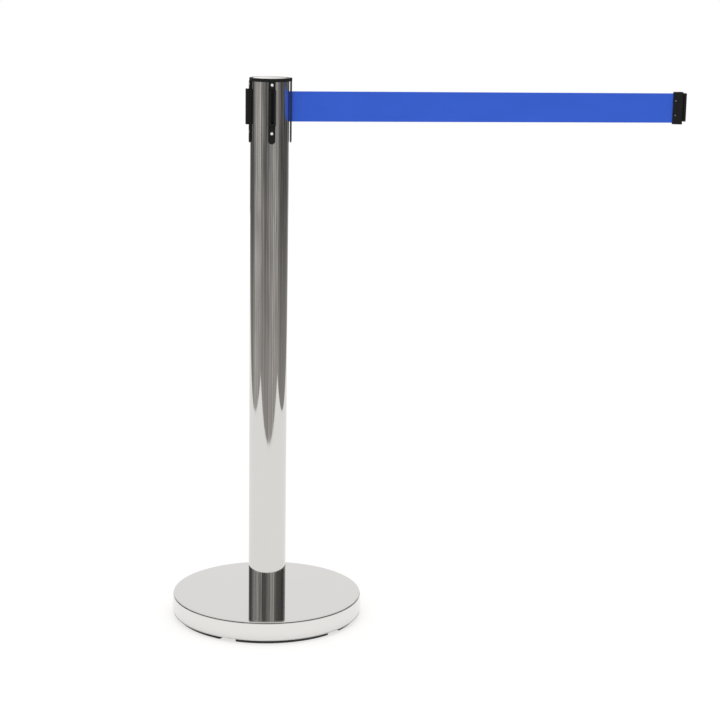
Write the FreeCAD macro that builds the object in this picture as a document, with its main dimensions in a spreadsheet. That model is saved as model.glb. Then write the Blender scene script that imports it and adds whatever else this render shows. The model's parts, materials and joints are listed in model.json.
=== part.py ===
"""Retractable belt stanchion: a weighted base, a polished post and a belt cassette in its head.

Millimetres, +Z up. The origin is the centre of the base on the floor. The belt leaves towards +X,
and the front receiver faces -Y. The belt is modelled pulled out by part of its length.
"""
import FreeCAD, Part
import math
import os
import Sketcher

SIZES = {
    # post
    "tube_radius": 31.5, "tube_wall": 1.2, "post_top": 904.7, "total_height": 910.0,
    "fit_gap": 0.1,
    # base
    "base_radius": 161.0, "base_top": 38.4, "cover_wall": 1.0, "cover_bottom": 7.0,
    "cover_bore": 7.2, "rim_widest": 16.0, "rim_top": 35.7, "rim_bend": 400.0, "lip_bend": 0.5,
    "rim_lean": 2.0, "rim_inset": 1.6, "groove_depth": 3.6, "groove_slope": 0.8,
    "groove_roof": 1.3, "edge_inset": 2.3, "edge_height": 0.9,
    "weight_radius": 154.0, "mat_radius": 153.5, "mat_height": 12.0,
    "notch_depth": 15.0, "notch_height": 5.0, "notch_half": 13.5, "notch_flare": 1.8,
    "notch_turn": 23.25,
    "weight_bevel": 2.0, "pool_inner": 52.0, "pool_outer": 138.0, "pool_depth": 8.0,
    "pool_slope": 4.0,
    "bolt_radius": 6.0, "bolt_top": 62.0, "bolt_recess": 25.0, "recess_depth": 14.0,
    "bolt_head_radius": 11.0, "bolt_head_height": 7.5, "washer_radius": 21.8,
    "washer_thickness": 3.0, "washer_bevel": 0.8, "washer_play": 0.4,
    "lock_radius": 10.2, "lock_thickness": 2.5, "lock_cut": 1.2, "boss_height": 22.0,
    "boss_bevel": 1.5,
    # head
    "cap_radius": 33.5, "cap_round": 0.8, "web_lift": 1.3, "seat_bevel": 0.4,
    "disc_radius": 28.0, "disc_thickness": 1.0, "plug_bottom": 897.0, "plug_bore": 24.0,
    "lug_reach": 35.8, "lug_half": 7.5, "lug_corner": 2.5,
    "strap_half": 5.8, "receiver_half": 6.1, "strap_bottom": 805.3, "strap_face": 33.8,
    "strap_inside": 28.0,
    "rivet_low": 822.6, "rivet_high": 900.0, "rivet_radius": 1.5, "rivet_head": 2.35,
    "rivet_reach": 27.4, "rivet_dome": 1.1,
    "receiver_low": 835.0, "receiver_high": 892.0, "receiver_face": 39.1,
    "seam_depth": 0.6, "seam_width": 0.7,
    "slot_half": 2.3, "chamber_half": 4.4, "chamber_back": 32.6, "chamber_front": 37.6,
    "slot_floor": 838.6,
    "guard_in": 33.4, "guard_out": 35.4, "guard_slot_half": 2.6, "leaf_thickness": 2.0,
    "window_half": 5.0,
    # cassette
    "plate_radius": 29.6, "plate_thickness": 3.0, "top_plate": 891.4, "bottom_plate": 833.4,
    "shell_wall": 1.0, "pillar_radius": 2.4, "pillar_place": 25.9, "screw_radius": 1.25,
    "screw_head": 2.6, "screw_head_height": 1.4, "screw_depth": 8.0,
    "mouth_start": 10.0, "mouth_half": 18.0,
    "drum_radius": 29.4, "drum_wall": 2.4, "drum_bottom": 812.4, "drum_roof": 2.0,
    "drum_cover": 2.0, "drum_bevel": 0.8, "spring_low": 814.0, "spring_high": 830.0,
    "spring_pitch": 1.7, "spring_thickness": 0.5, "arbor_gap": 0.9, "arbor_rise": 0.5,
    "spindle_radius": 3.0, "spindle_bevel": 0.4, "spindle_foot": 1.5, "spindle_top": 896.2,
    "end_play": 0.15, "run_gap": 0.05,
    "snap_radius": 5.4, "snap_thickness": 0.8, "snap_mouth": 4.4,
    "bush_radius": 5.0, "bush_flange": 0.7, "flange_reach": 1.5,
    "arbor_radius": 5.6, "reel_hub": 9.0, "hub_wall": 2.0, "reel_radius": 22.0,
    "reel_wall": 1.3,
    "roller_place": 27.2, "roller_offset": 2.75, "roller_radius": 2.2, "pin_radius": 1.2,
    # belt
    "belt_width": 49.0, "belt_thickness": 0.5, "belt_middle": 863.7, "roll_radius": 17.2,
    "lead_end": 32.0, "clear_gap": 0.3,
    # clip on the end of the belt
    "clip_start": 678.0, "clip_length": 16.0, "clip_half": 5.6, "clip_shoulder": 4.6,
    "clip_nose": 1.6, "clip_chin": 2.6,
    "clip_low": 836.9, "clip_high": 890.5, "anchor_place": 687.0, "anchor_radius": 1.25,
    "stem_start": 13.5, "head_start": 18.1, "tongue_end": 22.5,
    "tongue_low": 841.5, "tongue_high": 888.5, "tongue_half": 4.1, "tongue_nose": 3.5,
    "stem_half": 2.1, "root_half": 3.4,
    "clamp_place": 682.2, "clamp_spread": 12.0, "clamp_radius": 1.3, "clamp_reach": 3.0,
}

doc = FreeCAD.newDocument("BeltStanchion")
sheet = doc.addObject("Spreadsheet::Sheet", "Dims")
for row, (alias, number) in enumerate(SIZES.items(), start=1):
    sheet.set(f"A{row}", alias)
    sheet.set(f"B{row}", str(number))
    sheet.setAlias(f"B{row}", alias)
doc.recompute()

parts = []  # every finished sub-part, in the order it is made


# ---------------------------------------------------------------- size expressions

def value(text):
    """The number that a size expression gives: signed terms, each a product such as 2*fit_gap."""
    total, sign = 0.0, 1.0
    for word in str(text).split():
        if word in ("+", "-"):
            sign = 1.0 if word == "+" else -1.0
            continue
        product = sign
        for factor in word.split("*"):
            product *= SIZES[factor] if factor in SIZES else float(factor)
        total += product
    return total


def bound(text):
    """The same expression in the document's own words, so that it follows the sheet."""
    words = []
    for word in str(text).split():
        factors = [f"Dims.{part}" if part in SIZES else part for part in word.split("*")]
        words.append("*".join(factors))
    return " ".join(words)


def bind(thing, **settings):
    """Bind properties of a document object to size expressions."""
    for name, text in settings.items():
        thing.setExpression(name.replace("__", "."), bound(text))


# ---------------------------------------------------------------- sketches

def plane_of(body, role):
    return next(item for item in body.Origin.OriginFeatures if item.Role == role)


def new_body(label):
    body = doc.addObject("PartDesign::Body", label)
    body.Label = label
    parts.append(body)
    return body


def new_sketch(body, role, offset="0"):
    """An empty sketch on one of the body's origin planes, moved along the plane's normal."""
    sketch = body.newObject("Sketcher::SketchObject", f"{body.Name}_sketch")
    sketch.AttachmentSupport = [(plane_of(body, role), "")]
    sketch.MapMode = "FlatFace"
    bind(sketch, AttachmentOffset__Base__z=offset)
    return sketch


def pin_point(sketch, index, corner, across, along):
    """Hold one end of an edge at a place given by two size expressions."""
    for kind, text in (("DistanceX", across), ("DistanceY", along)):
        number = value(text)
        if abs(number) < 1e-9:
            axis = -2 if kind == "DistanceX" else -1
            sketch.addConstraint(Sketcher.Constraint("PointOnObject", index, corner, axis))
            continue
        place = sketch.addConstraint(Sketcher.Constraint(kind, -1, 1, index, corner, number))
        sketch.setExpression(f"Constraints[{place}]", bound(text))


def arc_between(start, end, radius):
    """An arc from start to end. A positive radius turns left, a negative one turns right."""
    middle = (start + end) * 0.5
    chord = end - start
    left = FreeCAD.Vector(-chord.y, chord.x, 0).normalize()
    rise = math.sqrt(max(radius * radius - (chord.Length / 2) ** 2, 0.0))
    centre = middle + left * (rise if radius > 0 else -rise)
    first, last = (start, end) if radius > 0 else (end, start)
    angles = [math.atan2(point.y - centre.y, point.x - centre.x) for point in (first, last)]
    if angles[1] <= angles[0]:
        angles[1] += 2 * math.pi
    circle = Part.Circle(centre, FreeCAD.Vector(0, 0, 1), abs(radius))
    return Part.ArcOfCircle(circle, angles[0], angles[1])


def draw(sketch, points):
    """A closed outline. A point is (across, along) or (across, along, radius of the arc to the next)."""
    places = [FreeCAD.Vector(value(point[0]), value(point[1]), 0) for point in points]
    ends = []
    for number, point in enumerate(points):
        start, end = places[number], places[(number + 1) % len(points)]
        if len(point) > 2:
            radius = value(point[2])
            index = sketch.addGeometry(arc_between(start, end, radius))
            ends.append((index, 1, 2) if radius > 0 else (index, 2, 1))
        else:
            index = sketch.addGeometry(Part.LineSegment(start, end))
            ends.append((index, 1, 2))
    for number, (index, first, last) in enumerate(ends):
        following = ends[(number + 1) % len(ends)]
        sketch.addConstraint(
            Sketcher.Constraint("Coincident", index, last, following[0], following[1]))
        pin_point(sketch, index, first, points[number][0], points[number][1])
        if len(points[number]) > 2:
            hold_arc(sketch, index, points[number], places[number],
                     places[(number + 1) % len(places)])


def hold_arc(sketch, index, point, start, end):
    """Fix an arc's size by its radius, or a half circle's by its centre, level with its ends."""
    across, along, radius = point
    if abs(2 * abs(value(radius)) - (end - start).Length) < 1e-6:
        level = abs(end.y - start.y) < abs(end.x - start.x)
        kind, text = ("DistanceY", along) if level else ("DistanceX", across)
        place = sketch.addConstraint(Sketcher.Constraint(kind, -1, 1, index, 3, value(text)))
        sketch.setExpression(f"Constraints[{place}]", bound(text))
        return
    place = sketch.addConstraint(Sketcher.Constraint("Radius", index, abs(value(radius))))
    sketch.setExpression(f"Constraints[{place}]", f"abs({bound(radius)})")


def draw_box(sketch, low_across, low_along, high_across, high_along):
    draw(sketch, [(low_across, low_along), (high_across, low_along),
                  (high_across, high_along), (low_across, high_along)])


def draw_circle(sketch, across, along, radius):
    centre = FreeCAD.Vector(value(across), value(along), 0)
    index = sketch.addGeometry(Part.Circle(centre, FreeCAD.Vector(0, 0, 1), value(radius)))
    pin_point(sketch, index, 3, across, along)
    size = sketch.addConstraint(Sketcher.Constraint("Radius", index, value(radius)))
    sketch.setExpression(f"Constraints[{size}]", bound(radius))


# ---------------------------------------------------------------- features

def turned(label, points):
    """A body turned about the Z axis from an outline of (radius, height) points."""
    body = new_body(label)
    sketch = new_sketch(body, "XZ_Plane")
    draw(sketch, points)
    turn = body.newObject("PartDesign::Revolution", f"{label}_turn")
    turn.Profile = (sketch, [""])
    turn.ReferenceAxis = (sketch, ["V_Axis"])
    turn.Angle = 360
    body.Tip = turn
    return body


def pad(body, role, offset, length, points, symmetric=False):
    """Add a straight extrusion along the plane's normal, or to both sides of it."""
    sketch = new_sketch(body, role, offset)
    draw(sketch, points)
    feature = body.newObject("PartDesign::Pad", f"{body.Name}_pad")
    feature.Profile = (sketch, [""])
    feature.SideType = "Symmetric" if symmetric else "One side"
    bind(feature, Length=length)
    body.Tip = feature
    return feature


def pocket(body, role, offset, length, points=None, circles=(), box=None,
           along_normal=True, symmetric=False):
    """Cut a straight extrusion, and stop if it took nothing away."""
    doc.recompute()
    before = body.Shape.Volume
    sketch = new_sketch(body, role, offset)
    if points:
        draw(sketch, points)
    if box:
        draw_box(sketch, *box)
    for circle in circles:
        draw_circle(sketch, *circle)
    feature = body.newObject("PartDesign::Pocket", f"{body.Name}_pocket")
    feature.Profile = (sketch, [""])
    feature.SideType = "Symmetric" if symmetric else "One side"
    feature.Reversed = along_normal
    bind(feature, Length=length)
    body.Tip = feature
    doc.recompute()
    if body.Shape.Volume > before - 1e-3:
        raise RuntimeError(f"a pocket in {body.Label} cuts nothing")
    return feature


def cylinder(name, radius, low, height, across="0", along="0"):
    """A plain upright cylinder that other shapes are combined from."""
    rod = doc.addObject("Part::Cylinder", name)
    bind(rod, Radius=radius, Height=height,
         Placement__Base__x=across, Placement__Base__y=along, Placement__Base__z=low)
    return rod


def cut(label, base, tool):
    feature = doc.addObject("Part::Cut", label)
    feature.Base, feature.Tool = base, tool
    feature.Label = label
    return feature


def fuse(label, shapes):
    feature = doc.addObject("Part::MultiFuse", label)
    feature.Shapes = shapes
    feature.Label = label
    return feature


def group(label, members):
    """Identical fasteners, kept as separate solids of one sub-part."""
    feature = doc.addObject("Part::Compound", label)
    feature.Links = members
    feature.Label = label
    parts.append(feature)
    return feature


def aim(feature, angle, reach, height):
    """Put a piece made along its own +Z at a height on the post, pointing outwards at an angle."""
    outward = FreeCAD.Vector(math.cos(math.radians(angle)), math.sin(math.radians(angle)), 0)
    place = outward * value(reach) + FreeCAD.Vector(0, 0, value(height))
    feature.Placement = FreeCAD.Placement(
        place, FreeCAD.Rotation(FreeCAD.Vector(0, 0, 1), outward))


def cross_holes(body, reach, radius, heights):
    """Rivet holes through the front, the back and the left side of a round wall."""
    holes = [("0", height, radius) for height in heights]
    pocket(body, "XZ_Plane", "0", f"2*{reach}", circles=holes, symmetric=True)
    pocket(body, "YZ_Plane", "0", reach, circles=holes, along_normal=False)


# ---------------------------------------------------------------- base

def make_floor_mat():
    mat = turned("floor_mat", [
        ("0", "0"), ("mat_radius - 1.5", "0"), ("mat_radius", "1.5"),
        ("mat_radius", "mat_height"), ("0", "mat_height")])
    notch = pocket(mat, "XY_Plane", "0", "notch_height", points=[
        ("mat_radius - notch_depth", "-1*notch_half"),
        ("mat_radius + 5", "-1*notch_half - notch_flare"),
        ("mat_radius + 5", "notch_half + notch_flare"),
        ("mat_radius - notch_depth", "notch_half")])
    ring = mat.newObject("PartDesign::PolarPattern", "floor_mat_notches")
    ring.Originals = [notch]
    ring.Axis = (plane_of(mat, "Z_Axis"), [""])
    ring.Angle = 360
    ring.Occurrences = 5
    mat.Tip = ring
    # two of the notches show from the front, one each side of the middle
    mat.Placement = FreeCAD.Placement(
        FreeCAD.Vector(0, 0, 0), FreeCAD.Rotation(FreeCAD.Vector(0, 0, 1), value("notch_turn")))


def make_base_weight():
    """A cast disc with a pool in its top, a recess for the bolt's head and a hole for the bolt."""
    under = "base_top - cover_wall"
    turned("base_weight", [
        ("cover_bore", "mat_height + recess_depth"),
        ("bolt_recess", "mat_height + recess_depth"), ("bolt_recess", "mat_height"),
        ("weight_radius - weight_bevel", "mat_height"),
        ("weight_radius", "mat_height + weight_bevel"), ("weight_radius", under),
        ("pool_outer", under), ("pool_outer - pool_slope", f"{under} - pool_depth"),
        ("pool_inner + pool_slope", f"{under} - pool_depth"), ("pool_inner", under),
        ("cover_bore", under)])


def make_base_cover():
    """A spun shell: a flat top, a fine groove under its edge, an upright rim and a rolled lip."""
    inner = "base_radius - cover_wall"
    turned("base_cover", [
        ("cover_bore", "base_top - cover_wall"),
        (f"{inner} - groove_depth", "base_top - cover_wall"),
        (f"{inner} - groove_depth", "rim_top - 0.6"),
        (f"{inner} - 2", "rim_top - 0.9"),
        (f"{inner} - 0.4", "rim_widest"),
        (f"{inner} - rim_lean", "cover_bottom + 0.8"),
        (f"{inner} - rim_lean", "cover_bottom"),
        ("base_radius - rim_lean", "cover_bottom", "lip_bend"),
        ("base_radius - rim_lean", "cover_bottom + 2*lip_bend"),
        ("base_radius", "rim_widest", "rim_bend"),
        ("base_radius - rim_inset", "rim_top"),
        ("base_radius - groove_depth", "rim_top + groove_slope"),
        ("base_radius - groove_depth", "base_top - groove_roof"),
        ("base_radius - edge_inset", "base_top - edge_height"),
        ("base_radius - edge_inset", "base_top - lip_bend", "lip_bend"),
        ("base_radius - edge_inset - lip_bend", "base_top"),
        ("cover_bore", "base_top")])


def make_clamp():
    """The bolt that pulls the post's foot down on the base, with its two washers."""
    seat = "mat_height + recess_depth"
    ring_low = f"{seat} - washer_thickness - lock_thickness"
    head = doc.addObject("Part::Prism", "clamp_bolt_head")
    head.Polygon = 6
    bind(head, Circumradius="bolt_head_radius", Height="bolt_head_height",
         Placement__Base__z=f"{ring_low} - bolt_head_height")
    shank = cylinder("clamp_bolt_shank", "bolt_radius", f"{ring_low} - fit_gap",
                     "bolt_top - mat_height - recess_depth + washer_thickness + lock_thickness"
                     " + fit_gap")
    parts.append(fuse("clamp_bolt", [head, shank]))
    turned("bolt_washer", [
        ("bolt_radius + washer_play", f"{seat} - washer_thickness"),
        ("washer_radius - washer_bevel", f"{seat} - washer_thickness"),
        ("washer_radius", f"{seat} - washer_thickness + washer_bevel"), ("washer_radius", seat),
        ("bolt_radius + washer_play", seat)])
    ring = cut("lock_washer_ring", cylinder("lock_outer", "lock_radius", ring_low, "lock_thickness"),
               cylinder("lock_inner", "bolt_radius + washer_play", f"{ring_low} - 0.5", "lock_thickness + 1"))
    gap = doc.addObject("Part::Box", "lock_gap")
    bind(gap, Length="lock_radius", Width="lock_cut", Height="lock_thickness + 1",
         Placement__Base__x="bolt_radius - 0.5", Placement__Base__y="-0.5*lock_cut",
         Placement__Base__z=f"{ring_low} - 0.5")
    parts.append(cut("lock_washer", ring, gap))


# ---------------------------------------------------------------- post

def make_post():
    tube = turned("post_tube", [
        ("tube_radius - tube_wall", "base_top"), ("tube_radius", "base_top"),
        ("tube_radius", "post_top"), ("tube_radius - tube_wall", "post_top")])
    cross_holes(tube, "50", "rivet_radius + fit_gap", ["rivet_low", "rivet_high"])
    pocket(tube, "YZ_Plane", "0", "50", box=(
        "-1*window_half", "bottom_plate + plate_thickness",
        "window_half", "top_plate - 0.8"))
    turned("foot_boss", [
        ("bolt_radius + fit_gap", "base_top"), ("tube_radius - tube_wall - fit_gap", "base_top"),
        ("tube_radius - tube_wall - fit_gap", "base_top + boss_height - boss_bevel"),
        ("tube_radius - tube_wall - fit_gap - boss_bevel", "base_top + boss_height"),
        ("bolt_radius + fit_gap", "base_top + boss_height")])


# ---------------------------------------------------------------- head

def make_head_cap():
    """The moulded ring with its plug in the tube, and the lug that the outlet guard hangs from."""
    seat = "total_height - disc_thickness"
    cap = turned("head_cap", [
        ("0", "post_top + web_lift"), ("plug_bore", "post_top + web_lift"),
        ("plug_bore", "plug_bottom"),
        ("tube_radius - tube_wall - fit_gap", "plug_bottom"),
        ("tube_radius - tube_wall - fit_gap", "post_top"), ("cap_radius", "post_top"),
        ("cap_radius", "total_height - cap_round", "cap_round"),
        ("cap_radius - cap_round", "total_height"),
        ("disc_radius + seat_bevel", "total_height"), ("disc_radius", "total_height - seat_bevel"),
        ("disc_radius", seat), ("0", seat)])
    pad(cap, "XY_Plane", "post_top", "total_height - post_top", points=[
        ("plug_bore + 5", "-1*lug_half"), ("lug_reach - lug_corner", "-1*lug_half", "lug_corner"),
        ("lug_reach", "-1*lug_half + lug_corner"), ("lug_reach", "lug_half - lug_corner", "lug_corner"),
        ("lug_reach - lug_corner", "lug_half"), ("plug_bore + 5", "lug_half")])
    pocket(cap, "XY_Plane", "post_top", "leaf_thickness + fit_gap", box=(
        "plug_bore + 0.9", "-1*strap_half - fit_gap", "lug_reach + 2", "strap_half + fit_gap"))
    cross_holes(cap, "50", "rivet_radius + fit_gap", ["rivet_high"])
    turned("cap_disc", [
        ("0", seat), ("disc_radius - fit_gap", seat),
        ("disc_radius - fit_gap", "total_height - 0.3"),
        ("disc_radius - fit_gap - 0.3", "total_height"), ("0", "total_height")])


def make_receiver(label, angle):
    """A strap down the post with a slotted box on it, which takes another belt's tongue."""
    strap = new_body(label)
    pad(strap, "YZ_Plane", "strap_inside", "strap_face - strap_inside", points=[
        ("strap_half", "strap_bottom + strap_half"), ("strap_half", "post_top"),
        ("-1*strap_half", "post_top"), ("-1*strap_half", "strap_bottom + strap_half", "strap_half")])
    pad(strap, "YZ_Plane", "strap_inside", "receiver_face - strap_inside", points=[
        ("-1*receiver_half", "receiver_low"), ("receiver_half", "receiver_low"),
        ("receiver_half", "receiver_high"), ("-1*receiver_half", "receiver_high")])
    pocket(strap, "XY_Plane", "strap_bottom - 5", "post_top + 10 - strap_bottom",
           circles=[("0", "0", "tube_radius + fit_gap")])
    room = "receiver_high - slot_floor + 1"
    pocket(strap, "XY_Plane", "slot_floor", room, box=(
        "chamber_back", "-1*chamber_half", "chamber_front", "chamber_half"))
    pocket(strap, "XY_Plane", "slot_floor", room, box=(
        "chamber_front - 0.5", "-1*slot_half", "receiver_face + 1", "slot_half"))
    tall = "receiver_high - receiver_low + 2"
    for near, far in (("receiver_half - seam_depth", "receiver_half + 1"),
                      ("-1*receiver_half - 1", "seam_depth - receiver_half")):
        pocket(strap, "XY_Plane", "receiver_low - 1", tall, box=(
            "strap_face", near, "strap_face + seam_width", far))
    pocket(strap, "YZ_Plane", "0", "50", circles=[
        ("0", "rivet_low", "rivet_radius + fit_gap"),
        ("0", "rivet_high", "rivet_radius + fit_gap")])
    strap.Placement = FreeCAD.Placement(
        FreeCAD.Vector(0, 0, 0), FreeCAD.Rotation(FreeCAD.Vector(0, 0, 1), angle))


def make_outlet_guard():
    """A bent strip: its leaf is trapped under the cap, and the belt runs through its slot."""
    guard = new_body("outlet_guard")
    pad(guard, "YZ_Plane", "guard_in", "guard_out - guard_in", points=[
        ("strap_half", "strap_bottom + strap_half"), ("strap_half", "post_top + leaf_thickness"),
        ("-1*strap_half", "post_top + leaf_thickness"),
        ("-1*strap_half", "strap_bottom + strap_half", "strap_half")])
    pad(guard, "XY_Plane", "post_top", "leaf_thickness", points=[
        ("plug_bore + 1", "-1*strap_half"), ("guard_out", "-1*strap_half"),
        ("guard_out", "strap_half"), ("plug_bore + 1", "strap_half")])
    pocket(guard, "YZ_Plane", "guard_in - 1", "5", box=(
        "-1*guard_slot_half", "belt_middle - 0.5*belt_width - 2",
        "guard_slot_half", "belt_middle + 0.5*belt_width + 2"))


def make_rivet(name, angle, height):
    dome = doc.addObject("Part::Ellipsoid", f"{name}_dome")
    dome.Angle1 = 0
    bind(dome, Radius1="rivet_dome", Radius2="rivet_head", Radius3="rivet_head")
    aim(dome, angle, "strap_face", height)
    shank = doc.addObject("Part::Cylinder", f"{name}_shank")
    bind(shank, Radius="rivet_radius", Height="strap_face - rivet_reach")
    aim(shank, angle, "rivet_reach", height)
    return fuse(name, [dome, shank])


# ---------------------------------------------------------------- cassette

def make_plates():
    hole = "bush_radius + fit_gap"
    for label, low in (("cassette_top", "top_plate"), ("cassette_bottom", "bottom_plate")):
        high = f"{low} + plate_thickness"
        plate = turned(label, [
            (hole, low), ("plate_radius", low), ("plate_radius", high), (hole, high)])
        if label == "cassette_top":
            pocket(plate, "XY_Plane", low, "plate_thickness", circles=[
                (across, along, "screw_radius + fit_gap") for across, along in pillar_places()])


def make_cassette_shell():
    """The curved back of the cassette, open towards the outlet."""
    low = "bottom_plate + plate_thickness"
    height = "top_plate - bottom_plate - plate_thickness"
    ring = cut("shell_ring", cylinder("shell_outer", "plate_radius", low, height),
               cylinder("shell_inner", "plate_radius - shell_wall", f"{low} - 1",
                        f"{height} + 2"))
    mouth = doc.addObject("Part::Box", "shell_mouth")
    bind(mouth, Length="plate_radius", Width="2*mouth_half", Height=f"{height} + 2",
         Placement__Base__x="mouth_start", Placement__Base__y="-1*mouth_half",
         Placement__Base__z=f"{low} - 1")
    parts.append(cut("cassette_shell", ring, mouth))


def pillar_places():
    return [("0", "pillar_place"), ("-1*pillar_place", "0"), ("0", "-1*pillar_place")]


def make_pillars():
    low = "bottom_plate + plate_thickness"
    height = "top_plate - bottom_plate - plate_thickness"
    pillars, screws = [], []
    for number, (across, along) in enumerate(pillar_places(), start=1):
        rod = cylinder(f"pillar_{number}_rod", "pillar_radius", low, height, across, along)
        hole = cylinder(f"pillar_{number}_hole", "screw_radius + fit_gap",
                        "top_plate - screw_depth - 1", "screw_depth + 2", across, along)
        pillars.append(cut(f"pillar_{number}", rod, hole))
        head = cylinder(f"screw_{number}_head", "screw_head", "top_plate + plate_thickness",
                        "screw_head_height", across, along)
        shank = cylinder(f"screw_{number}_shank", "screw_radius", "top_plate - screw_depth",
                         "plate_thickness + screw_depth + 1", across, along)
        screws.append(fuse(f"screw_{number}", [head, shank]))
    group("cassette_pillars", pillars)
    group("cassette_screws", screws)


def make_spring_drum():
    inner = "drum_radius - drum_wall"
    drum = turned("spring_drum", [
        (inner, "drum_bottom"), ("drum_radius", "drum_bottom"), ("drum_radius", "bottom_plate"),
        ("bush_radius + fit_gap", "bottom_plate"),
        ("bush_radius + fit_gap", "bottom_plate - drum_roof"),
        (inner, "bottom_plate - drum_roof")])
    cross_holes(drum, "50", "rivet_radius + fit_gap", ["rivet_low"])
    turned("spring_cover", [
        ("spindle_radius + run_gap", "drum_bottom - drum_cover"),
        ("drum_radius - drum_bevel", "drum_bottom - drum_cover"),
        ("drum_radius", "drum_bottom - drum_cover + drum_bevel"), ("drum_radius", "drum_bottom"),
        ("spindle_radius + run_gap", "drum_bottom")])


def spiral_edges(first_radius, pitch, half_turns):
    """Half circles about two centres half a pitch apart, which join into one smooth spiral."""
    edges = []
    for number in range(half_turns):
        radius = first_radius + number * pitch / 2
        side = 1 if number % 2 == 0 else -1
        centre = FreeCAD.Vector(0 if side > 0 else pitch / 2, 0, 0)
        start = centre + FreeCAD.Vector(side * radius, 0, 0)
        top = centre + FreeCAD.Vector(0, side * radius, 0)
        end = centre - FreeCAD.Vector(side * radius, 0, 0)
        edges.append(Part.Arc(start, top, end).toShape())
    return edges


def make_power_spring():
    """The flat spiral spring that winds the belt in."""
    half_turns = 22
    pitch, thickness = value("spring_pitch"), value("spring_thickness")
    inner = value("arbor_radius + arbor_gap")
    low, high = value("spring_low"), value("spring_high")
    near = spiral_edges(inner, pitch, half_turns)
    far = spiral_edges(inner + thickness, pitch, half_turns)
    caps = [Part.makeLine(near[0].Vertexes[0].Point, far[0].Vertexes[0].Point),
            Part.makeLine(near[-1].Vertexes[-1].Point, far[-1].Vertexes[-1].Point)]
    wire = Part.Wire(Part.__sortEdges__(near + far + caps))
    spring = doc.addObject("Part::Feature", "power_spring")
    spring.Label = "power_spring"
    spring.Shape = Part.Face(wire).extrude(FreeCAD.Vector(0, 0, high - low))
    spring.Placement = FreeCAD.Placement(FreeCAD.Vector(0, 0, low), FreeCAD.Rotation())
    parts.append(spring)


def make_reel():
    """What turns: the spindle with its spring arbor and clip, the reel and the wound belt."""
    bore = "spindle_radius + 0.5*run_gap"
    low = "bottom_plate + plate_thickness + bush_flange + end_play"
    high = "top_plate - bush_flange - end_play"
    turned("spindle", [
        ("0", "drum_bottom - spindle_foot"),
        ("spindle_radius - spindle_bevel", "drum_bottom - spindle_foot"),
        ("spindle_radius", "drum_bottom - spindle_foot + spindle_bevel"),
        ("spindle_radius", "spindle_top - spindle_bevel"),
        ("spindle_radius - spindle_bevel", "spindle_top"), ("0", "spindle_top")])
    turned("reel", [
        (bore, low), ("reel_radius", low), ("reel_radius", f"{low} + reel_wall"),
        ("reel_hub", f"{low} + reel_wall"), ("reel_hub", f"{high} - reel_wall"),
        ("reel_hub - hub_wall", f"{high} - reel_wall"), ("reel_hub - hub_wall", high), (bore, high)])
    turned("reel_flange", [
        ("reel_hub - hub_wall + fit_gap", f"{high} - reel_wall"),
        ("reel_radius", f"{high} - reel_wall"), ("reel_radius", high),
        ("reel_hub - hub_wall + fit_gap", high)])
    turned("spring_arbor", [
        (bore, "spring_low - arbor_rise"), ("arbor_radius", "spring_low - arbor_rise"),
        ("arbor_radius", "spring_high + arbor_rise"), (bore, "spring_high + arbor_rise")])
    half = "0.5*belt_width"
    turned("belt_roll", [
        ("reel_hub + fit_gap", f"belt_middle - {half}"), ("roll_radius", f"belt_middle - {half}"),
        ("roll_radius", f"belt_middle + {half}"), ("reel_hub + fit_gap", f"belt_middle + {half}")])
    ring = cut("clip_ring", cylinder("clip_outer", "snap_radius",
                                     "top_plate + plate_thickness + end_play", "snap_thickness"),
               cylinder("clip_bore", bore, "top_plate + plate_thickness", "2"))
    gap = doc.addObject("Part::Box", "clip_gap")
    bind(gap, Length="snap_radius", Width="snap_mouth", Height="2", Placement__Base__x="0.5",
         Placement__Base__y="-0.5*snap_mouth", Placement__Base__z="top_plate + plate_thickness")
    parts.append(cut("spindle_clip", ring, gap))


def make_bushes():
    bore = "spindle_radius + run_gap"
    low = "bottom_plate + plate_thickness"
    turned("lower_bush", [
        (bore, "bottom_plate - drum_roof"), ("bush_radius", "bottom_plate - drum_roof"),
        ("bush_radius", low), ("bush_radius + flange_reach", low),
        ("bush_radius + flange_reach", f"{low} + bush_flange"), (bore, f"{low} + bush_flange")])
    turned("upper_bush", [
        (bore, "top_plate - bush_flange"), ("bush_radius + flange_reach", "top_plate - bush_flange"),
        ("bush_radius + flange_reach", "top_plate"), ("bush_radius", "top_plate"),
        ("bush_radius", "top_plate + plate_thickness"), (bore, "top_plate + plate_thickness")])


def make_rollers():
    """Two rollers, one each side of the belt, on fixed pins in the cassette's mouth."""
    low = "bottom_plate + plate_thickness"
    height = "top_plate - bottom_plate - plate_thickness"
    pins = []
    for label, offset in (("near_roller", "-1*roller_offset"), ("far_roller", "roller_offset")):
        pins.append(cylinder(f"{label}_pin", "pin_radius", low, height, "roller_place", offset))
        sleeve = cut(label, cylinder(f"{label}_outer", "roller_radius", f"{low} + 1",
                                     f"{height} - 2", "roller_place", offset),
                     cylinder(f"{label}_bore", "pin_radius + run_gap", low, height,
                              "roller_place", offset))
        parts.append(sleeve)
    group("guide_pins", pins)


# ---------------------------------------------------------------- belt

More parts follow.
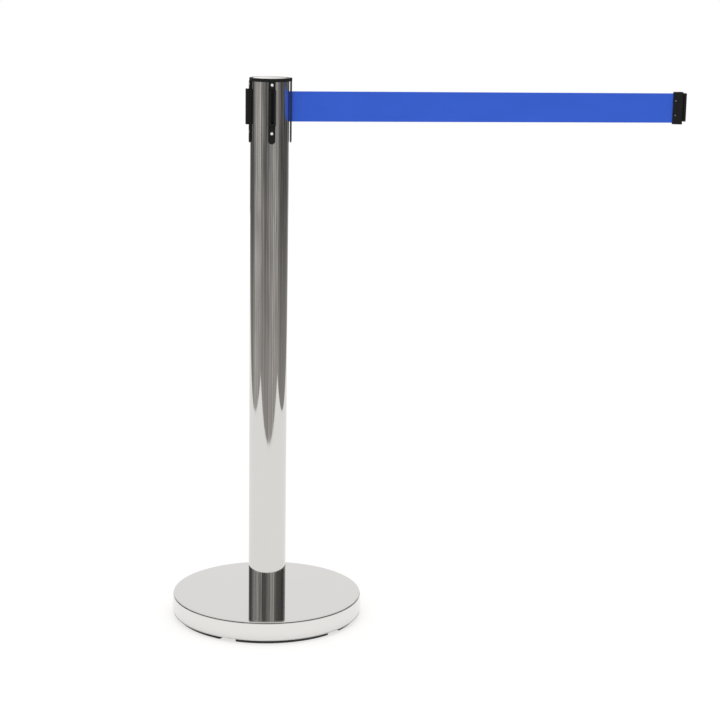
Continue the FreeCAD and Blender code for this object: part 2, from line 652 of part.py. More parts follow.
def make_belt_lead():
    """The belt from the wound roll, round the far roller and out between the two rollers."""
    half = value("belt_thickness") / 2
    turn = value("roller_offset")
    roll = value("roll_radius") + half + value("clear_gap")
    centre = FreeCAD.Vector(value("roller_place"), turn, 0)
    lean = math.atan2(centre.y, centre.x) - math.asin((roll + turn) / centre.Length)
    normal = FreeCAD.Vector(-math.sin(lean), math.cos(lean), 0)
    end = FreeCAD.Vector(value("lead_end"), 0, 0)
    middle_angle = (math.atan2(-normal.y, -normal.x) - math.pi / 2) / 2
    sides = []
    for shift in (half, -half):
        side = FreeCAD.Vector(0, shift, 0)
        reach = turn - shift
        bend = [centre + FreeCAD.Vector(math.cos(angle), math.sin(angle), 0) * reach
                for angle in (math.atan2(-normal.y, -normal.x), middle_angle, -math.pi / 2)]
        start = normal * (roll + shift)
        sides.append([Part.makeLine(start, bend[0]), Part.Arc(*bend).toShape(),
                      Part.makeLine(bend[2], end + side)])
    caps = [Part.makeLine(sides[0][0].Vertexes[0].Point, sides[1][0].Vertexes[0].Point),
            Part.makeLine(sides[0][2].Vertexes[1].Point, sides[1][2].Vertexes[1].Point)]
    wire = Part.Wire(Part.__sortEdges__(sides[0] + sides[1] + caps))
    lead = doc.addObject("Part::Feature", "belt_lead")
    lead.Label = "belt_lead"
    lead.Shape = Part.Face(wire).extrude(FreeCAD.Vector(0, 0, value("belt_width")))
    low = value("belt_middle") - value("belt_width") / 2
    lead.Placement = FreeCAD.Placement(FreeCAD.Vector(0, 0, low), FreeCAD.Rotation())
    parts.append(lead)


def make_belt_span():
    """The belt in the open, from the cassette's mouth into the clip."""
    span = new_body("belt_span")
    pad(span, "XZ_Plane", "0", "belt_thickness", symmetric=True, points=[
        ("lead_end", "belt_middle - 0.5*belt_width"),
        ("anchor_place - anchor_radius - 0.3", "belt_middle - 0.5*belt_width"),
        ("anchor_place - anchor_radius - 0.3", "belt_middle + 0.5*belt_width"),
        ("lead_end", "belt_middle + 0.5*belt_width")])
    pocket(span, "XZ_Plane", "0", "4", symmetric=True, circles=clamp_circles())


# ---------------------------------------------------------------- clip

def make_clip_shell(label, side):
    """Half of the clip: side -1 is the front half and +1 the rear half."""
    end = "clip_start + clip_length"
    shell = new_body(label)
    pad(shell, "XY_Plane", "clip_low", "clip_high - clip_low", points=[
        ("clip_start", "0"), (end, "0"), (end, f"{side}*clip_shoulder"),
        (f"{end} - 1", f"{side}*clip_half"), ("clip_start + 9", f"{side}*clip_half"),
        ("clip_start + 1", f"{side}*clip_chin"), ("clip_start", f"{side}*clip_nose")])
    belt_room = ("belt_middle - 0.5*belt_width - 0.3", "belt_width + 0.6")
    tongue_room = ("tongue_low - fit_gap", "tongue_high - tongue_low + 2*fit_gap")
    pocket(shell, "XY_Plane", *belt_room, box=("clip_start - 1", "-0.3", "anchor_place", "0.3"))
    pocket(shell, "XY_Plane", *belt_room,
           circles=[("anchor_place", "0", "anchor_radius + fit_gap")])
    pocket(shell, "XY_Plane", *tongue_room, box=(
        "clip_start + stem_start - 2 - fit_gap", "-1*root_half - fit_gap",
        "clip_start + stem_start + fit_gap", "root_half + fit_gap"))
    pocket(shell, "XY_Plane", *tongue_room, box=(
        "clip_start + stem_start", "-1*stem_half - fit_gap", "clip_start + 17", "stem_half + fit_gap"))
    pocket(shell, "XZ_Plane", "0", "40", symmetric=True, circles=clamp_circles())


def clamp_circles():
    """Where the two rivets go through both halves of the clip and the belt between them."""
    return [("clamp_place", "belt_middle - clamp_spread", "clamp_radius + fit_gap"),
            ("clamp_place", "belt_middle + clamp_spread", "clamp_radius + fit_gap")]


def make_clip():
    make_clip_shell("clip_front_shell", -1)
    make_clip_shell("clip_rear_shell", 1)
    tongue = new_body("clip_tongue")
    pad(tongue, "XY_Plane", "tongue_low", "tongue_high - tongue_low", points=[
        ("clip_start + stem_start - 2", "-1*root_half"), ("clip_start + stem_start", "-1*root_half"),
        ("clip_start + stem_start", "-1*stem_half"), ("clip_start + head_start", "-1*stem_half"),
        ("clip_start + head_start", "-1*tongue_half"), ("clip_start + tongue_end - 0.6", "-1*tongue_half"),
        ("clip_start + tongue_end", "-1*tongue_nose"), ("clip_start + tongue_end", "tongue_nose"),
        ("clip_start + tongue_end - 0.6", "tongue_half"), ("clip_start + head_start", "tongue_half"),
        ("clip_start + head_start", "stem_half"), ("clip_start + stem_start", "stem_half"),
        ("clip_start + stem_start", "root_half"), ("clip_start + stem_start - 2", "root_half")])
    parts.append(cylinder("belt_anchor", "anchor_radius", "belt_middle - 0.5*belt_width",
                          "belt_width", "anchor_place"))
    rivets = []
    for number, side in enumerate(("-", "+"), start=1):
        rivet = cylinder(f"clip_rivet_{number}", "clamp_radius", "belt_middle", "2*clamp_reach",
                         "clamp_place")
        rivet.Placement = FreeCAD.Placement(
            FreeCAD.Vector(0, 0, 0), FreeCAD.Rotation(FreeCAD.Vector(1, 0, 0), 90))
        bind(rivet, Placement__Base__y="clamp_reach",
             Placement__Base__z=f"belt_middle {side} clamp_spread")
        rivets.append(rivet)
    group("clip_rivets", rivets)


# ---------------------------------------------------------------- making it all

def make_everything():
    for make in (make_floor_mat, make_base_weight, make_base_cover, make_clamp, make_post,
                 make_head_cap):
        make()
    make_receiver("front_receiver", -90)
    make_receiver("left_receiver", 180)
    make_receiver("back_receiver", 90)
    make_outlet_guard()
    group("head_rivets", [
        make_rivet(f"rivet_{angle}_{height}", angle, height)
        for angle in (-90, 180, 90) for height in ("rivet_low", "rivet_high")])
    for make in (make_plates, make_cassette_shell, make_pillars, make_spring_drum,
                 make_power_spring, make_reel, make_bushes, make_rollers, make_belt_lead,
                 make_belt_span, make_clip):
        make()


def check_everything():
    """Stop before anything is written if a feature failed or a sub-part isn't sound."""
    doc.recompute()
    for thing in doc.Objects:
        if "Invalid" in thing.State or "Error" in thing.State:
            raise RuntimeError(f"{thing.Label} failed: {thing.State}")
    for part in parts:
        if part.Shape.isNull() or not part.Shape.isValid() or part.Shape.Volume <= 0:
            raise RuntimeError(f"{part.Label} has no sound shape")


make_everything()
check_everything()
os.makedirs("parts", exist_ok=True)
for part in parts:
    part.Shape.exportStep(f"parts/{part.Label}.step")
    print(f"{part.Label}: {len(part.Shape.Solids)} solid(s), {part.Shape.Volume:.0f} mm3")
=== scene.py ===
"""Looks of the retractable belt stanchion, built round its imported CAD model.

Metres, +Z up. The origin is the centre of the base on the floor, the belt leaves towards +X and
the front receiver faces -Y.
"""
import json
import math

import bmesh
import bpy
from mathutils import Matrix, Vector

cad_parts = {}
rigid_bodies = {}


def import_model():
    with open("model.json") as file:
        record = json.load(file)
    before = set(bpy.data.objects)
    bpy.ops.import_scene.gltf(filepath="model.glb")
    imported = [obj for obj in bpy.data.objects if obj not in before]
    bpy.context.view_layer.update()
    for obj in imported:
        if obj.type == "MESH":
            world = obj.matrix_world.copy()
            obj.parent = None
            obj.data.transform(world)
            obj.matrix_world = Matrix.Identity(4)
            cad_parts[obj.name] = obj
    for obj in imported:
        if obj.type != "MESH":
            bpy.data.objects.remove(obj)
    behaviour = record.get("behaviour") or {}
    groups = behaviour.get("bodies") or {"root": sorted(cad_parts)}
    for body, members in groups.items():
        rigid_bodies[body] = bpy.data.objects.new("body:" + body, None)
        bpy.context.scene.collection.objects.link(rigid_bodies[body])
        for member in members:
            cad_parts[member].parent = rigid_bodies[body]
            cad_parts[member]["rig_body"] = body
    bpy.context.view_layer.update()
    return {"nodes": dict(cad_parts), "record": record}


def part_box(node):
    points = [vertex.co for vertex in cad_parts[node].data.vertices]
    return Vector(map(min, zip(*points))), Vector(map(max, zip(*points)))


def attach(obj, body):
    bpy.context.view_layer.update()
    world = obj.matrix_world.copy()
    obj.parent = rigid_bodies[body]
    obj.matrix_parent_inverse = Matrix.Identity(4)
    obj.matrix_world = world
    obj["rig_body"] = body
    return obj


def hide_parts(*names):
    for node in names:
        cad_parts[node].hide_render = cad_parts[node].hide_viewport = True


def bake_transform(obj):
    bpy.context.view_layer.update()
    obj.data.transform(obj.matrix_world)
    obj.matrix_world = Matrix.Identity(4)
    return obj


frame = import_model()

MM = 0.001
MERGE = 1e-6  # points nearer than this are one point
GRAIN_ROUGHNESS = 0.55  # how much of the noise's finer detail shows
SHARP_EDGE = math.radians(32)  # edges that turn by more than this are rounded off
EDGE_SEGMENTS = 2  # facets across a rounded edge

SLOT_OF = {part["node"]: part["material_slot"] for part in frame["record"]["subparts"]}
COLOUR_OF = {slot["slot"]: slot["base_color"] for slot in frame["record"]["materials"]}


# ---------------------------------------------------------------- shader building

def add(tree, kind, inputs=(), **settings):
    """A shader node with its settings and its inputs, which are numbers or other nodes' outputs."""
    made = tree.nodes.new(kind)
    for name, setting in settings.items():
        setattr(made, name, setting)
    for name, source in dict(inputs).items():
        if isinstance(source, bpy.types.NodeSocket):
            tree.links.new(source, made.inputs[name])
        else:
            made.inputs[name].default_value = source
    return made


def calc(tree, operation, *sources):
    """A math node's result."""
    return add(tree, "ShaderNodeMath", enumerate(sources), operation=operation).outputs[0]


def mapped(tree, source, low, high, to_low, to_high, smooth=False):
    """source taken from one range of numbers to another, and kept within it."""
    kind = "SMOOTHSTEP" if smooth else "LINEAR"
    return add(tree, "ShaderNodeMapRange", {
        "Value": source, "From Min": low, "From Max": high,
        "To Min": to_low, "To Max": to_high}, interpolation_type=kind).outputs[0]


def blended(tree, factor, first, second, mode="MIX"):
    """Two colours mixed by a factor."""
    mixer = add(tree, "ShaderNodeMix", data_type="RGBA", blend_type=mode)
    for socket, source in ((mixer.inputs[0], factor), (mixer.inputs[6], first),
                           (mixer.inputs[7], second)):
        if isinstance(source, bpy.types.NodeSocket):
            tree.links.new(source, socket)
        else:
            socket.default_value = source
    return mixer.outputs[2]


def colour(rgb, scale=1.0):
    """A colour made darker or lighter, with full opacity."""
    return (*(min(1.0, part * scale) for part in rgb), 1.0)


def surface(name, **sockets):
    """A material whose uniform values are set on its shader's own sockets."""
    material = bpy.data.materials.new(name)
    material.use_nodes = True
    shader = material.node_tree.nodes["Principled BSDF"]
    for socket, setting in sockets.items():
        shader.inputs[socket.replace("_", " ")].default_value = setting
    return material, material.node_tree, shader


def grain(tree, scale, stretch=(1, 1, 1), detail=3.0):
    """Noise on the piece's own coordinates. scale is in cells per metre."""
    place = add(tree, "ShaderNodeTexCoord").outputs["Object"]
    spread = add(tree, "ShaderNodeMapping", {"Vector": place, "Scale": stretch})
    return add(tree, "ShaderNodeTexNoise", {
        "Vector": spread.outputs[0], "Scale": scale, "Detail": detail,
        "Roughness": GRAIN_ROUGHNESS}).outputs["Fac"]


def tint(tree, shader, factor, rgb, dark, light):
    """The colour wanders between a darker and a lighter shade of itself."""
    weave_hollow_shade_and_tone = blended(tree, factor, colour(rgb, dark), colour(rgb, light))
    tree.links.new(weave_hollow_shade_and_tone, shader.inputs["Base Color"])


def rough(tree, shader, factor, low, high):
    """The roughness wanders between two values."""
    tree.links.new(mapped(tree, factor, 0.3, 0.7, low, high), shader.inputs["Roughness"])


def bump(tree, shader, height, depth, strength=1.0):
    """depth is the height of the relief in metres."""
    relief = add(tree, "ShaderNodeBump", {
        "Height": height, "Distance": depth, "Strength": strength})
    tree.links.new(relief.outputs[0], shader.inputs["Normal"])


# ---------------------------------------------------------------- materials

def polished_tube():
    """Mirror-polished stainless tube, with the faint long waves that drawing leaves in it."""
    rgb = COLOUR_OF["post_steel"]
    material, tree, shader = surface("polished_tube_steel", Metallic=1.0)
    tint(tree, shader, grain(tree, 14, (1, 1, 0.3)), rgb, 0.97, 1.0)
    rough(tree, shader, grain(tree, 60, (1, 1, 0.08)), 0.03, 0.06)
    bump(tree, shader, grain(tree, 90, (1, 1, 0.03), detail=1.0), 0.00003)
    return material


def spun_cover():
    """Polished spun steel: fine rings round the axis and a slight haze, with painted shade in the
    groove under the top's edge and the rim painted lighter than the top.
    """
    rgb = COLOUR_OF["base_steel"]
    material, tree, shader = surface("spun_cover_steel", Metallic=1.0)
    place = add(tree, "ShaderNodeTexCoord").outputs["Object"]
    split = add(tree, "ShaderNodeSeparateXYZ", {"Vector": place})
    across = calc(tree, "MULTIPLY", split.outputs[0], split.outputs[0])
    along = calc(tree, "MULTIPLY", split.outputs[1], split.outputs[1])
    radius = calc(tree, "SQRT", calc(tree, "ADD", across, along))
    ring_place = add(tree, "ShaderNodeCombineXYZ", {0: radius, 2: split.outputs[2]})
    rings = add(tree, "ShaderNodeTexNoise", {
        "Vector": ring_place.outputs[0], "Scale": 900.0, "Detail": 2.0}).outputs["Fac"]
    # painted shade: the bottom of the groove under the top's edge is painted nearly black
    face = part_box("base_cover")[1]
    height = split.outputs[2]
    groove_floor, groove_mouth = face.x - 3.4 * MM, face.x - 2.2 * MM
    roof_start, roof_end = face.z - 0.7 * MM, face.z - 1.0 * MM
    sill_start, sill_end = face.z - 2.9 * MM, face.z - 2.4 * MM
    rim_start, rim_end = face.z - 3.6 * MM, face.z - 3.0 * MM
    inside = mapped(tree, radius, groove_floor, groove_mouth, 1.0, 0.0)
    under = mapped(tree, height, roof_start, roof_end, 0.0, 1.0)
    over = mapped(tree, height, sill_start, sill_end, 0.0, 1.0)
    groove_painted_shade = calc(tree, "MULTIPLY", calc(tree, "MULTIPLY", under, over), inside)
    bright = blended(tree, grain(tree, 9), colour(rgb, 0.97), colour(rgb))
    # painted light: the rim below the groove is painted lighter than the top face
    on_rim = mapped(tree, height, rim_start, rim_end, 1.0, 0.0)
    top_grain_and_lighter_rim = blended(tree, on_rim, bright, colour(rgb, 1.12))
    tree.links.new(blended(tree, groove_painted_shade, top_grain_and_lighter_rim, colour(rgb, 0.12)),
                   shader.inputs["Base Color"])
    rough(tree, shader, rings, 0.045, 0.075)
    bump(tree, shader, grain(tree, 22, detail=1.0), 0.00004)
    return material


def turned_metal(slot, low, high, depth):
    """Plated or turned metal: streaks of roughness and a fine relief."""
    material, tree, shader = surface(f"{slot}_metal", Metallic=1.0)
    tint(tree, shader, grain(tree, 300), COLOUR_OF[slot], 0.86, 1.06)
    rough(tree, shader, grain(tree, 700, (1, 1, 6)), low, high)
    bump(tree, shader, grain(tree, 2200), depth)
    return material


def satin_rivet():
    """Rolled rivet heads, bright and slightly satin."""
    material, tree, shader = surface("rivet_satin", Metallic=0.45)
    tint(tree, shader, grain(tree, 600), COLOUR_OF["rivet_chrome"], 0.96, 1.0)
    rough(tree, shader, grain(tree, 1500), 0.34, 0.46)
    bump(tree, shader, grain(tree, 2500), 0.00001)
    return material


def cast_iron():
    """Sand-cast iron under thin paint."""
    material, tree, shader = surface("cast_iron_painted", Metallic=0.35)
    tint(tree, shader, grain(tree, 120), COLOUR_OF["cast_iron"], 0.7, 1.25)
    rough(tree, shader, grain(tree, 260), 0.6, 0.82)
    bump(tree, shader, grain(tree, 700, detail=5.0), 0.0003)
    return material


def rubber():
    """Matt moulded rubber with dust in its grain."""
    material, tree, shader = surface("mat_rubber_moulded")
    shader.inputs["Specular IOR Level"].default_value = 0.25
    tint(tree, shader, grain(tree, 90), COLOUR_OF["mat_rubber"], 0.8, 1.4)
    rough(tree, shader, grain(tree, 400), 0.68, 0.88)
    bump(tree, shader, grain(tree, 1300, detail=4.0), 0.00012)
    return material


def moulded(slot, low, high, cells, depth):
    """Injection-moulded plastic with a spark-eroded grain."""
    material, tree, shader = surface(f"{slot}_moulded")
    shader.inputs["Specular IOR Level"].default_value = 0.22
    tint(tree, shader, grain(tree, 160), COLOUR_OF[slot], 0.85, 1.2)
    rough(tree, shader, grain(tree, 500), low, high)
    bump(tree, shader, grain(tree, cells, detail=2.0), depth)
    return material


def powder_coat():
    """Black powder coat with its fine orange peel."""
    material, tree, shader = surface("guard_powder_coat", Coat_Weight=0.25, Coat_Roughness=0.2)
    tint(tree, shader, grain(tree, 200), COLOUR_OF["guard_steel"], 0.85, 1.25)
    rough(tree, shader, grain(tree, 400), 0.34, 0.5)
    bump(tree, shader, grain(tree, 1400, detail=1.0), 0.00003)
    return material


def webbing():
    """Woven polyester belt: ribs of warp along the belt, crossed by a finer weft."""
    material, tree, shader = surface("belt_weave", Sheen_Weight=0.06, Sheen_Roughness=0.4)
    shader.inputs["Specular IOR Level"].default_value = 0.08
    warp_pitch, weft_pitch = 1.1 * MM, 0.55 * MM
    turn = 2 * math.pi
    place = add(tree, "ShaderNodeTexCoord").outputs["Object"]
    split = add(tree, "ShaderNodeSeparateXYZ", {"Vector": place})
    warp_angle = calc(tree, "MULTIPLY", split.outputs[2], turn / warp_pitch)
    weft_angle = calc(tree, "MULTIPLY", split.outputs[0], turn / weft_pitch)
    warp = calc(tree, "SINE", warp_angle)
    weft = calc(tree, "SINE", weft_angle)
    over = calc(tree, "MULTIPLY", warp, weft)
    ribs = calc(tree, "MULTIPLY_ADD", warp, 0.5, over)
    height = mapped(tree, ribs, -1.5, 1.5, 0.0, 1.0)
    cloud = grain(tree, 35, (0.4, 1, 1), detail=2.0)
    # painted shade: the low parts of the weave are painted darker, mixed with random blotches of tone
    weave_hollow_shade_and_tone = calc(tree, "MULTIPLY_ADD", height, 0.45, calc(tree, "MULTIPLY", cloud, 0.55))
    tint(tree, shader, weave_hollow_shade_and_tone, COLOUR_OF["belt_webbing"], 0.78, 1.04)
    rough(tree, shader, cloud, 0.5, 0.62)
    bump(tree, shader, height, 0.00012, strength=0.6)
    return material


MATERIALS = {
    "post_steel": polished_tube(),
    "base_steel": spun_cover(),
    "zinc_steel": turned_metal("zinc_steel", 0.28, 0.42, 0.00002),
    "spring_steel": turned_metal("spring_steel", 0.22, 0.34, 0.00001),
    "brass_bush": turned_metal("brass_bush", 0.2, 0.34, 0.00001),
    "rivet_chrome": satin_rivet(),
    "cast_iron": cast_iron(),
    "mat_rubber": rubber(),
    "head_plastic": moulded("head_plastic", 0.4, 0.55, 1800, 0.00005),
    "clip_plastic": moulded("clip_plastic", 0.38, 0.5, 1800, 0.00005),
    "cassette_plastic": moulded("cassette_plastic", 0.45, 0.6, 1400, 0.00004),
    "reel_plastic": moulded("reel_plastic", 0.3, 0.42, 900, 0.00002),
    "guard_steel": powder_coat(),
    "belt_webbing": webbing(),
}

for node_name, node_object in frame["nodes"].items():
    node_object.data.materials.clear()
    node_object.data.materials.append(MATERIALS[SLOT_OF[node_name]])


# ---------------------------------------------------------------- mesh building

def piece_from(name, mesh_data, slot, body, *stands_for):
    """A finished mesh becomes a piece of the object: its finish, its body and the nodes it replaces."""
    mesh = bpy.data.meshes.new(name)
    mesh_data.normal_update()
    mesh_data.to_mesh(mesh)
    mesh_data.free()
    mesh.shade_smooth()
    mesh.materials.append(MATERIALS[slot])
    piece = bpy.data.objects.new(name, mesh)
    bpy.context.scene.collection.objects.link(piece)
    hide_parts(*stands_for)
    if body:
        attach(piece, body)
    return piece


def crease(piece, degrees=32.0):
    """Edges that turn by more than this are drawn sharp."""
    piece.data.set_sharp_from_angle(angle=math.radians(degrees))


def lathe(outline, segments):
    """A closed (radius, height) outline turned about the Z axis."""
    made = bmesh.new()
    rings = []
    for step in range(segments):
        angle = 2 * math.pi * step / segments
        rings.append([made.verts.new((radius * math.cos(angle), radius * math.sin(angle), height))
                      for radius, height in outline])
    for step, ring in enumerate(rings):
        following = rings[(step + 1) % segments]
        for index in range(len(outline)):
            after = (index + 1) % len(outline)
            made.faces.new((ring[index], following[index], following[after], ring[after]))
    bmesh.ops.remove_doubles(made, verts=made.verts, dist=MERGE)
    bmesh.ops.recalc_face_normals(made, faces=made.faces)
    return made


def bend(centre, radius, start, end, steps=6):
    """Points of an arc in an outline, between two angles in degrees."""
    angles = [math.radians(start + (end - start) * step / steps) for step in range(steps + 1)]
    return [(centre[0] + radius * math.cos(angle), centre[1] + radius * math.sin(angle))
            for angle in angles]


def rounded_turn(start, corner, end, share, steps=12):
    """Points from start to end past a corner, which a curve rounds off over a share of each run."""
    first = [corner[axis] + (start[axis] - corner[axis]) * share for axis in (0, 1)]
    last = [corner[axis] + (end[axis] - corner[axis]) * share for axis in (0, 1)]
    points = [start]
    for step in range(steps + 1):
        far = step / steps
        points.append(tuple((1 - far) ** 2 * first[axis] + 2 * far * (1 - far) * corner[axis]
                            + far ** 2 * last[axis] for axis in (0, 1)))
    return points + [end]


def softened(node, name, width):
    """The CAD node's own shape with its edges rounded off, in place of the node."""
    made = bmesh.new()
    made.from_mesh(frame["nodes"][node].data)
    bmesh.ops.remove_doubles(made, verts=made.verts, dist=MERGE)
    bmesh.ops.dissolve_limit(made, angle_limit=math.radians(0.5), verts=made.verts,
                             edges=made.edges)
    for edge in made.edges:
        edge.smooth = True
    piece = piece_from(name, made, SLOT_OF[node], frame["nodes"][node]["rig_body"], node)
    for left_over in ("custom_normal", "sharp_face", "sharp_edge"):
        if left_over in piece.data.attributes:
            piece.data.attributes.remove(piece.data.attributes[left_over])
    rounding = piece.modifiers.new("rounded_edges", "BEVEL")
    rounding.limit_method = "ANGLE"
    rounding.angle_limit = SHARP_EDGE
    rounding.width = width
    rounding.segments = EDGE_SEGMENTS
    rounding.harden_normals = True
    return piece


# ---------------------------------------------------------------- base

def make_base_cover():
    """The spun shell: flat top, fine groove under its edge, nearly upright rim and rolled lip."""
    low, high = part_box("base_cover")
    radius, bottom, top = high.x, low.z, high.z
    wall = 1.0 * MM
    bore = 7.2 * MM
    face_edge = radius - 2.3 * MM
    groove = radius - 3.6 * MM
    foot = radius - 2.0 * MM
    rim_top = top - 2.7 * MM
    widest = bottom + 9.0 * MM
    roll = 0.5 * MM
    edge_low = top - 0.9 * MM
    groove_roof = top - 1.3 * MM
    groove_sill = rim_top + 0.8 * MM
    shoulder_centre = (radius - 2.2 * MM, rim_top + 0.05 * MM)
    shoulder_radius = 0.6 * MM
    shoulder = (radius - 1.6 * MM, rim_top)
    belly = (radius + 0.35 * MM, widest)
    belly_share = 0.45
    inner_rim_low, inner_rim_top = rim_top - 0.9 * MM, rim_top - 0.6 * MM
    face_steps = 16
    outline = [(bore + (face_edge - bore) * step / face_steps, top) for step in range(face_steps)]
    outline += bend((face_edge - roll, top - roll), roll, 90, 0)
    outline += [(face_edge, edge_low), (groove, groove_roof), (groove, groove_sill)]
    outline += bend(shoulder_centre, shoulder_radius, 80, 8, 4)
    outline += rounded_turn(shoulder, belly, (foot, bottom + 2 * roll), belly_share)
    outline += bend((foot, bottom + roll), roll, 90, -90)
    outline += [(foot - wall, bottom), (foot - wall, bottom + 0.8 * MM),
                (radius - wall - 0.4 * MM, widest), (groove - wall + 0.6 * MM, inner_rim_low),
                (groove - wall, inner_rim_top), (groove - wall, top - wall),
                (bore, top - wall)]
    cover = piece_from("base_cover_spun", lathe(outline, 288), "base_steel", "stand",
                       "base_cover")
    crease(cover, 40.0)


def make_mat():
    softened("floor_mat", "floor_mat_moulded", 0.6 * MM)


# ---------------------------------------------------------------- post

def make_tube():
    """The tube's wall, open at the window that the belt comes out of."""
    low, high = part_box("post_tube")
    radius = high.y
    wall = 1.2 * MM
    window_reach = 5.0 * MM
    window_margin = 0.8 * MM
    window_half = math.asin(window_reach / radius)
    window_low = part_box("cassette_bottom")[1].z
    window_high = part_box("cassette_top")[0].z - window_margin
    wide = 184
    narrow = 8
    angles = [window_half + (2 * math.pi - 2 * window_half) * step / wide for step in range(wide)]
    angles += [-window_half + 2 * window_half * step / narrow for step in range(narrow)]
    heights = [low.z, window_low, window_high, high.z]
    made = bmesh.new()
    columns = [[made.verts.new((radius * math.cos(angle), radius * math.sin(angle), height))
                for height in heights] for angle in angles]
    for step, column in enumerate(columns):
        following = columns[(step + 1) % len(columns)]
        for row in range(len(heights) - 1):
            if step >= wide and row == 1:
                continue  # the window
            made.faces.new((column[row], following[row], following[row + 1], column[row + 1]))
    bmesh.ops.recalc_face_normals(made, faces=made.faces)
    bmesh.ops.solidify(made, geom=made.faces[:], thickness=wall)
    bmesh.ops.recalc_face_normals(made, faces=made.faces)
    tube = piece_from("post_tube_wall", made, "post_steel", "stand", "post_tube")
    crease(tube)


# ---------------------------------------------------------------- head

def make_rivets():
    """Blind rivets: a rolled head with a flat skirt and a dimple where the mandrel broke off."""
    low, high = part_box("head_rivets")
    head = 2.35 * MM
    dome = 1.1 * MM
    hole = 0.7 * MM
    dimple_floor = dome * 0.55
    reach = -low.x - dome
    shank, shank_end = 1.5 * MM, 6.4 * MM
    outline = [(0.0, dimple_floor), (hole * 0.7, dimple_floor), (hole, dome * 0.93)]
    crown_steps = 8
    crown_inset, crown_margin = 0.1 * MM, 0.25 * MM
    crown_start, crown_span = 0.06, 0.88
    for step in range(crown_steps + 1):
        share = step / crown_steps
        outline.append((hole + crown_inset + (head - hole - crown_margin) * share,
                        dome * math.sqrt(max(0.0, 1 - (crown_start + crown_span * share) ** 2))))
    outline += [(head, dome * 0.2), (head, 0.0), (shank, 0.0), (shank, -shank_end),
                (0.0, -shank_end)]
    made = bmesh.new()
    for angle in (-90, 180, 90):
        outward = Vector((math.cos(math.radians(angle)), math.sin(math.radians(angle)), 0))
        turn = outward.to_track_quat("Z", "Y").to_matrix().to_4x4()
        for height in (low.z + head, high.z - head):
            single = lathe(outline, 40)
            place = Matrix.Translation(outward * reach + Vector((0, 0, height))) @ turn
            bmesh.ops.transform(single, matrix=place, verts=single.verts)
            shape = bpy.data.meshes.new("rivet")
            single.to_mesh(shape)
            single.free()
            made.from_mesh(shape)
            bpy.data.meshes.remove(shape)
    rivets = piece_from("head_rivets_rolled", made, "rivet_chrome", "stand", "head_rivets")
    crease(rivets, 50.0)


def make_head():
    softened("head_cap", "head_cap_moulded", 0.35 * MM)
    softened("cap_disc", "cap_disc_pressed", 0.2 * MM)
    for side in ("front", "left", "back"):
        softened(f"{side}_receiver", f"{side}_receiver_moulded", 0.35 * MM)
    softened("outlet_guard", "outlet_guard_coated", 0.4 * MM)
    make_rivets()


# ---------------------------------------------------------------- belt

def belt_section(width, thickness, middle):
    """The belt's (across, height) section: a flat web with a rounded selvedge along each edge."""
    half = thickness / 2
    selvedge = 1.6 * MM
    swell = 0.12 * MM
    edge = width / 2
    slope, shoulder, nose = 0.6 * MM, 0.45 * MM, 0.08 * MM
    top_right = [(half, 0.0), (half, edge - selvedge - slope),
                 (half + swell, edge - selvedge), (half + swell, edge - shoulder),
                 (half * 0.6, edge - nose), (0.0, edge)]
    top_left = [(-across, height) for across, height in reversed(top_right[:-1])]
    low_left = [(-across, -height) for across, height in top_right[1:-1]]
    low_right = [(across, -height) for across, height in reversed(top_right[1:])]
    return [(across, middle + height)
            for across, height in top_right + top_left + low_left + low_right]


def strip(path, section):
    """A belt swept along (x, y, across x, across y) places, standing on edge."""
    made = bmesh.new()
    rows = []
    for x, y, across_x, across_y in path:
        rows.append([made.verts.new((x + across_x * out, y + across_y * out, height))
                     for out, height in section])
    for row, following in zip(rows, rows[1:]):
        for index in range(len(section)):
            after = (index + 1) % len(section)
            made.faces.new((row[index], row[after], following[after], following[index]))
    made.faces.new(rows[0])
    made.faces.new(list(reversed(rows[-1])))
    bmesh.ops.recalc_face_normals(made, faces=made.faces)
    return made


def make_belt():
    """The belt in the open, with rows of points at the guard's outlet and at the clip's throat."""
    low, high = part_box("belt_span")
    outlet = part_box("outlet_guard")[1].x
    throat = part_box("clip_front_shell")[0].x
    section = belt_section(high.z - low.z, high.y - low.y, (low.z + high.z) / 2)
    path = [(x, 0.0, 0.0, 1.0) for x in (low.x, outlet, throat, high.x)]
    belt = piece_from("belt_span_woven", strip(path, section), "belt_webbing", None, "belt_span")
    crease(belt, 50.0)
    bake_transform(belt)


def make_wound_belt():
    """The turns of belt on the reel, as one spiral."""
    low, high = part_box("belt_roll")
    outer = high.x
    inner = 9.1 * MM
    pitch = 0.52 * MM
    thickness = 0.44 * MM
    steps = 40
    turns = (outer - inner - thickness) / pitch
    count = int(turns * steps)
    path = []
    for step in range(count + 1):
        angle = 2 * math.pi * step / steps
        radius = inner + thickness / 2 + pitch * step / steps
        path.append((radius * math.cos(angle), radius * math.sin(angle),
                     math.cos(angle), math.sin(angle)))
    half, bottom, top = thickness / 2, low.z, high.z
    section = [(-half, bottom), (half, bottom), (half, top), (-half, top)]
    roll = piece_from("belt_roll_wound", strip(path, section), "belt_webbing", "winding_reel",
                      "belt_roll")
    crease(roll, 50.0)


# ---------------------------------------------------------------- clip

def make_clip():
    softened("clip_front_shell", "clip_front_shell_moulded", 0.45 * MM)
    softened("clip_rear_shell", "clip_rear_shell_moulded", 0.45 * MM)
    softened("clip_tongue", "clip_tongue_moulded", 0.35 * MM)
    softened("clip_rivets", "clip_rivets_turned", 0.25 * MM)


make_base_cover()
make_mat()
make_tube()
make_head()
make_belt()
make_wound_belt()
make_clip()


# ---------------------------------------------------------------- camera

# where the camera stands from the post (metres, turned from the front), where it looks, and its
# lens in millimetres
CAMERA_AZIMUTH = math.radians(-5.946)
CAMERA_DISTANCE = 3.08586
CAMERA_HEIGHT = 1.1094
CAMERA_YAW = math.radians(8.79)
CAMERA_PITCH = math.radians(12.159)
CAMERA_ROLL = math.radians(0.952)
CAMERA_LENS = 94.466
SENSOR_WIDTH = 36.0


